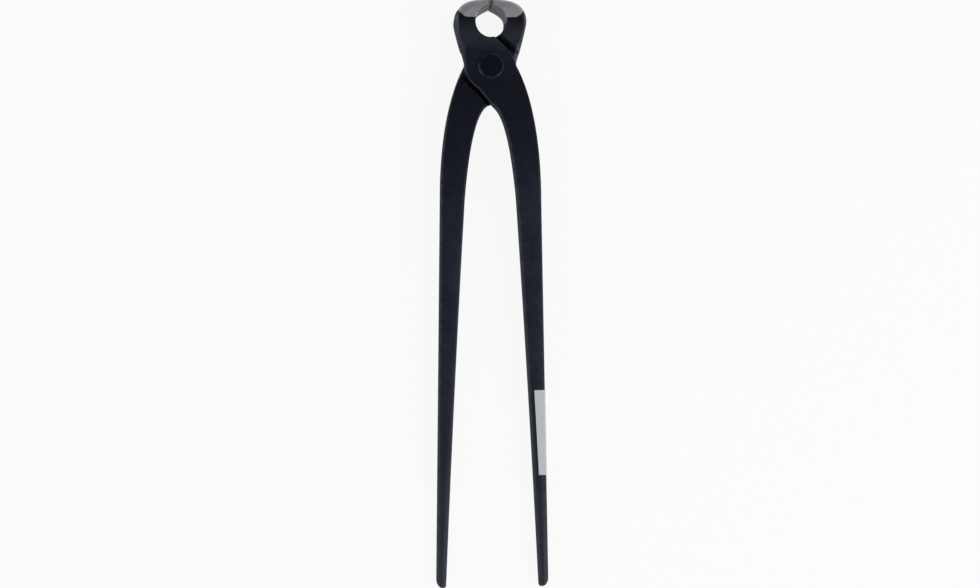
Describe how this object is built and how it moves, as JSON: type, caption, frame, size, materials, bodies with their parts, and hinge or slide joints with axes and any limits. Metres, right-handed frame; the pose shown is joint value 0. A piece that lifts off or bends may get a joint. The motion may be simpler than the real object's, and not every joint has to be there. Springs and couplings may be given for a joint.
{
  "type": "concreters nippers",
  "caption": "Long-handled end-cutting nippers for tying and cutting wire: forged black levers crossed in a riveted lap joint, with bare ground cutting jaws and plain tapered handles.",
  "frame": {"origin": "centre of the rivet's flat rear face, on the pivot axis", "axes": "+Z along the rivet towards the front of the tool, +Y from the pivot to the cutting edges, +X to the handle of the front lever"},
  "size_m": [0.0536, 0.28, 0.018],
  "materials": {
    "black_forged_steel": "blue-black phosphated forging, satin, with bare ground steel at the cutting edges",
    "black_rivet_steel": "blue-black phosphated rivet, satin",
    "label_paper": "matt pale grey paper, blank"
  },
  "bodies": {
    "front": {"front_lever": "black_forged_steel", "pivot_rivet": "black_rivet_steel", "paper_label": "label_paper"},
    "rear": {"rear_lever": "black_forged_steel"}
  },
  "joints": [
    {"name": "jaw_hinge", "type": "hinge", "parent": "front", "child": "rear", "pos_m": [0, 0, 0.0064], "axis": [0, 0, -1], "range_deg": [0, 36]}
  ]
}
